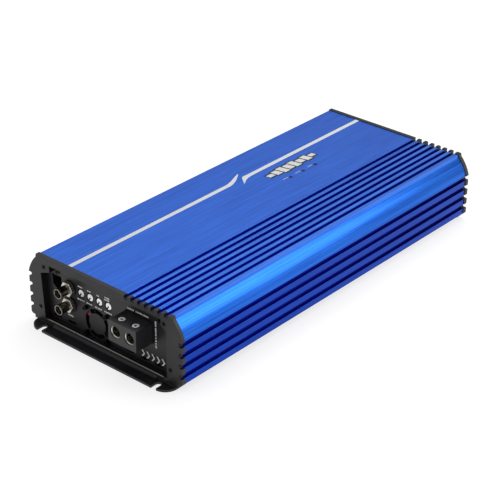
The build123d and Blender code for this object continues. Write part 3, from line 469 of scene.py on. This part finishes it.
class Print:
    """Thin printed shapes on one flat face, gathered into one piece."""

    def __init__(self, origin, across, up):
        self.origin = Vector(origin)
        self.across = Vector(across)
        self.up = Vector(up)
        self.out = self.across.cross(self.up)
        self.mesh = bmesh.new()

    def at(self, u, v, lift):
        return self.origin + MM * (self.across * u + self.up * v) + self.out * lift

    def shape(self, outline, base=0.0):
        """A closed prism over an anticlockwise outline of (u, v), standing base metres off the face."""
        low = [self.mesh.verts.new(self.at(u, v, base)) for u, v in outline]
        high = [self.mesh.verts.new(self.at(u, v, base + INK_THICK)) for u, v in outline]
        self.mesh.faces.new(low[::-1])
        self.mesh.faces.new(high)
        for i in range(len(outline)):
            j = (i + 1) % len(outline)
            self.mesh.faces.new((low[i], low[j], high[j], high[i]))

    def bar(self, u0, v0, u1, v1, slant=0.0, base=0.0):
        self.shape([(u0, v0), (u1, v0), (u1 + slant, v1), (u0 + slant, v1)], base)

    def dashes(self, u0, u1, v, height, seed, gaps=WORD_GAPS):
        """A row of small blocks of uneven width, about the middle height v."""
        draw = random.Random(seed)
        u = u0
        while u < u1 - LEAST_ROOM:
            width = min(draw.uniform(*DASH_WIDTHS), u1 - u)
            half = height * draw.uniform(*DASH_HEIGHTS) / 2
            self.bar(u, v - half, u + width, v + half)
            u += width + draw.choice(gaps)

    def piece(self, name, material):
        bmesh.ops.recalc_face_normals(self.mesh, faces=self.mesh.faces)
        data = bpy.data.meshes.new(name)
        self.mesh.to_mesh(data)
        self.mesh.free()
        data.materials.append(material)
        made = bpy.data.objects.new(name, data)
        bpy.context.scene.collection.objects.link(made)
        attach(made, "chassis")


# On the deck, lengths run from the front frame's face, away from the control panel. On the panel, heights
# are from the floor.
FRAME_FACE = 183.4                   # from the middle of the part
DECK = (0, -FRAME_FACE * MM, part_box("heatsink")[1].z)
PANEL = (0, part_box("front_panel")[0].y, 0)

# A long stripe, broken by a slanting gap where its two ends taper past each other.
STRIPE_LEFT, STRIPE_RIGHT = -40.5, -36.5
STRIPE_START, STRIPE_END = 4.0, 362.6
NEAR_TIP = ((STRIPE_RIGHT, 186.5), (-37.3, 190.8), (-40.0, 197.6), (-46.2, 207.4),
            (-47.2, 207.0), (-42.4, 194.0), (-41.0, 188.6), (STRIPE_LEFT, 186.0))
FAR_TIP = ((STRIPE_LEFT, 212.0), (-40.8, 207.0), (-39.8, 204.8), (-30.4, 197.1),
           (-34.4, 204.0), (-36.0, 209.0), (STRIPE_RIGHT, 214.0))

# A row of slanting bars with dark outlines, all sheared about one line.
EMBLEM_BARS = (4.6, 7.4, 10.2, 8.4, 10.4, 6.2, 8.8, 4.5)
EMBLEM_START, EMBLEM_PITCH, EMBLEM_WIDTH = 220.7, 7.8, 6.3
EMBLEM_MIDDLE = 24.1                 # across the deck, towards the side away from the fins
EMBLEM_LEAN = 0.22
BORDER_SIDES, BORDER_ENDS = 0.74, 1.5

# A short row of dashes before each status lamp.
LAMPS = (233.4, 249.8, 266.2)
LAMP_ROW_START, LAMP_ROW_END = 8.4, 2.4      # before the lamp
LAMP_ROW_MIDDLE = 11.5

# Rows on the panel: left end, right end, and the height of the middle where it isn't shared.
OVER_TRIMMERS = ((-32.4, -27.2, 44.8), (-22.2, -17.8, 44.6), (-12.0, -8.8, 44.5), (-3.4, 1.4, 46.2),
                 (-4.0, 2.2, 44.2))
UNDER_TRIMMERS = ((-33.4, -25.2), (-23.4, -16.6), (-14.2, -6.6), (-4.2, 4.2))
OVER_TERMINALS = ((20.5, 28.0), (29.2, 43.0))
UNDER_TRIMMERS_MIDDLE, OVER_TERMINALS_MIDDLE = 33.5, 46.6
LOWER_LEFT = (-45.0, -38.6, 14.8)

# A row that runs up the panel by its right edge: low end, high end, and how far left of the centre line.
SIDE_RULE = (23.0, 46.0, -49.5)

# A row of chevrons at the panel's lower right.
CHEVRONS, CHEVRON_START, CHEVRON_PITCH = 5, 34.0, 5.2
CHEVRON_LOW, CHEVRON_MIDDLE, CHEVRON_HIGH = 10.0, 13.0, 16.0
CHEVRON_STROKE, CHEVRON_POINT = 1.3, 2.3


def top_stripe():
    stripe = Print(DECK, RIGHT, BACK)
    stripe.shape([(STRIPE_LEFT, STRIPE_START), (STRIPE_RIGHT, STRIPE_START), *NEAR_TIP])
    stripe.shape([*FAR_TIP, (STRIPE_RIGHT, STRIPE_END), (STRIPE_LEFT, STRIPE_END)])
    stripe.piece("top_stripe", WHITE_INK)


def top_emblem():
    emblem = Print(DECK, BACK, LEFT)
    outline = Print(DECK, BACK, LEFT)
    for k, tall in enumerate(EMBLEM_BARS):
        left = EMBLEM_START + EMBLEM_PITCH * k
        for target, half, border, base in ((outline, tall / 2 + BORDER_ENDS, BORDER_SIDES, 0.0),
                                           (emblem, tall / 2, 0.0, INK_THICK)):
            shift = EMBLEM_LEAN * half
            target.bar(left + shift - border, EMBLEM_MIDDLE - half,
                       left + shift + EMBLEM_WIDTH + border, EMBLEM_MIDDLE + half, -2 * shift, base)
    outline.piece("top_emblem_outline", BLACK_INK)
    emblem.piece("top_emblem", LABEL_INK)


def lamp_marks():
    marks = Print(DECK, BACK, LEFT)
    for k, lamp in enumerate(LAMPS):
        marks.dashes(lamp - LAMP_ROW_START, lamp - LAMP_ROW_END, LAMP_ROW_MIDDLE, height=1.3, seed=61 + k)
    marks.piece("lamp_marks", FAINT_INK)


def panel_marks():
    marks = Print(PANEL, RIGHT, UP)
    for k, (left, right, middle) in enumerate(OVER_TRIMMERS):
        marks.dashes(left, right, middle, height=1.2, seed=11 + k, gaps=CLOSE_GAPS)
    for k, (left, right) in enumerate(UNDER_TRIMMERS):
        marks.dashes(left, right, UNDER_TRIMMERS_MIDDLE, height=1.2, seed=23 + k, gaps=SHORT_WORD_GAPS)
    for k, (left, right) in enumerate(OVER_TERMINALS):
        marks.dashes(left, right, OVER_TERMINALS_MIDDLE, height=1.7, seed=31 + k, gaps=CLOSE_GAPS)
    marks.dashes(*LOWER_LEFT, height=1.4, seed=41, gaps=OPEN_GAPS)
    for k in range(CHEVRONS):
        left = CHEVRON_START + CHEVRON_PITCH * k
        marks.shape([(left, CHEVRON_LOW), (left + CHEVRON_STROKE, CHEVRON_LOW),
                     (left + CHEVRON_STROKE + CHEVRON_POINT, CHEVRON_MIDDLE),
                     (left + CHEVRON_STROKE, CHEVRON_HIGH), (left, CHEVRON_HIGH),
                     (left + CHEVRON_POINT, CHEVRON_MIDDLE)])
    marks.piece("panel_marks", LABEL_INK)


def panel_side_rule():
    rule = Print(PANEL, UP, LEFT)
    rule.dashes(*SIDE_RULE, height=1.6, seed=51, gaps=WIDE_WORD_GAPS)
    rule.piece("panel_side_rule", LABEL_INK)


top_stripe()
top_emblem()
lamp_marks()
panel_marks()
panel_side_rule()


# ---------------------------------------------------------------- floor, light, camera

FLOOR_HALF = 8.0
FLOOR_GLOW = 0.72
SKY_STOPS = ((0.0, 0.92), (0.16, 0.8), (0.36, 0.42), (0.56, 0.6), (1.0, 0.86))
SKY_BLUE = 1.01                      # blue against red and green
SKY_TURN = (0.1, 0.5)                # where the sky starts and ends dimming, towards +X
SKY_RIGHT = 0.45                     # its level past that

# Name, place, what it points at, size, power in watts.
SOFTBOXES = (
    ("right_softbox", (0.9, 0.4, 0.4), (0.08, 0.0, 0.04), (1.2, 0.5), 0.5),
    ("near_softbox", (0.49, 0.31, 0.39), (0.07, -0.16, 0.05), (0.35, 0.35), 1.1),
    ("top_softbox", (-0.3, 0.5, 1.5), (0, 0, 0), (1.2, 1.2), 10),
)

CAMERA_PLACE = (0.7615, -0.9018, 0.6664)
AZIMUTH, ELEVATION, ROLL = math.radians(40.62), math.radians(28.92), math.radians(0.383)
SENSOR = 36.0
FOCAL_RATIO = 3.2392                 # focal length over the sensor's width
CLIP_START, CLIP_END = 0.05, 50


def floor():
    """A pale, faintly mottled floor that glows a little, as a lit sweep does."""
    f = Finish("floor_finish", specular=0.1)
    f.colour(f.blend(f.span(f.noise(6, 3), 0.0, 1.0), FLOOR_DARK, FLOOR_LIGHT))
    f.rough(f.span(f.noise(9, 3), 0.8, 0.9))
    f.shader.inputs["Emission Color"].default_value = (1.0, 1.0, 1.0, 1.0)
    f.shader.inputs["Emission Strength"].default_value = FLOOR_GLOW
    data = bpy.data.meshes.new("floor")
    corners = [(x * FLOOR_HALF, y * FLOOR_HALF, 0) for x, y in ((-1, -1), (1, -1), (1, 1), (-1, 1))]
    data.from_pydata(corners, [], [(0, 1, 2, 3)])
    data.materials.append(f.material)
    made = bpy.data.objects.new("floor", data)
    bpy.context.scene.collection.objects.link(made)


def sky():
    """Studio surround: white low down, greyer overhead and dimmer to the right."""
    world = bpy.data.worlds.new("studio")
    world.use_nodes = True
    tree = world.node_tree
    background = tree.nodes["Background"]
    coordinate = tree.nodes.new("ShaderNodeTexCoord")
    split = tree.nodes.new("ShaderNodeSeparateXYZ")
    tree.links.new(coordinate.outputs["Generated"], split.inputs[0])

    ramp = tree.nodes.new("ShaderNodeValToRGB")
    tree.links.new(split.outputs["Z"], ramp.inputs[0])
    stops = ramp.color_ramp.elements
    for index, (position, level) in enumerate(SKY_STOPS):
        stop = stops[index] if index < 2 else stops.new(position)
        stop.position = position
        stop.color = (level, level, level * SKY_BLUE, 1)

    side = tree.nodes.new("ShaderNodeMapRange")
    side.inputs["From Min"].default_value, side.inputs["From Max"].default_value = SKY_TURN
    side.inputs["To Min"].default_value = 1.0
    side.inputs["To Max"].default_value = SKY_RIGHT
    tree.links.new(split.outputs["X"], side.inputs["Value"])

    dimmed = tree.nodes.new("ShaderNodeVectorMath")
    dimmed.operation = "SCALE"
    tree.links.new(ramp.outputs[0], dimmed.inputs[0])
    tree.links.new(side.outputs["Result"], dimmed.inputs["Scale"])
    tree.links.new(dimmed.outputs[0], background.inputs["Color"])
    background.inputs["Strength"].default_value = 1.0
    bpy.context.scene.world = world


def softbox(name, place, target, size, power):
    data = bpy.data.lights.new(name, "AREA")
    data.shape = "RECTANGLE"
    data.size, data.size_y = size
    data.energy = power
    made = bpy.data.objects.new(name, data)
    made.location = place
    made.rotation_euler = (Vector(target) - Vector(place)).to_track_quat("-Z", "Y").to_euler()
    made.visible_camera = False
    bpy.context.scene.collection.objects.link(made)


def camera():
    """A long lens above the control end's right corner, rolled a little."""
    place = Vector(CAMERA_PLACE)
    level = math.cos(ELEVATION)
    back = Vector((math.sin(AZIMUTH) * level, -math.cos(AZIMUTH) * level, math.sin(ELEVATION)))
    right = (-back).cross(Vector(UP)).normalized()
    up = right.cross(-back)
    turned_right = math.cos(ROLL) * right + math.sin(ROLL) * up
    turned_up = -math.sin(ROLL) * right + math.cos(ROLL) * up
    data = bpy.data.cameras.new("camera")
    data.sensor_width = SENSOR
    data.lens = SENSOR * FOCAL_RATIO
    data.clip_start, data.clip_end = CLIP_START, CLIP_END
    made = bpy.data.objects.new("camera", data)
    made.matrix_world = Matrix((
        (turned_right.x, turned_up.x, back.x, place.x),
        (turned_right.y, turned_up.y, back.y, place.y),
        (turned_right.z, turned_up.z, back.z, place.z),
        (0, 0, 0, 1),
    ))
    bpy.context.scene.collection.objects.link(made)
    bpy.context.scene.camera = made


floor()
sky()
for box in SOFTBOXES:
    softbox(*box)
camera()
bpy.context.scene.view_settings.view_transform = "Standard"
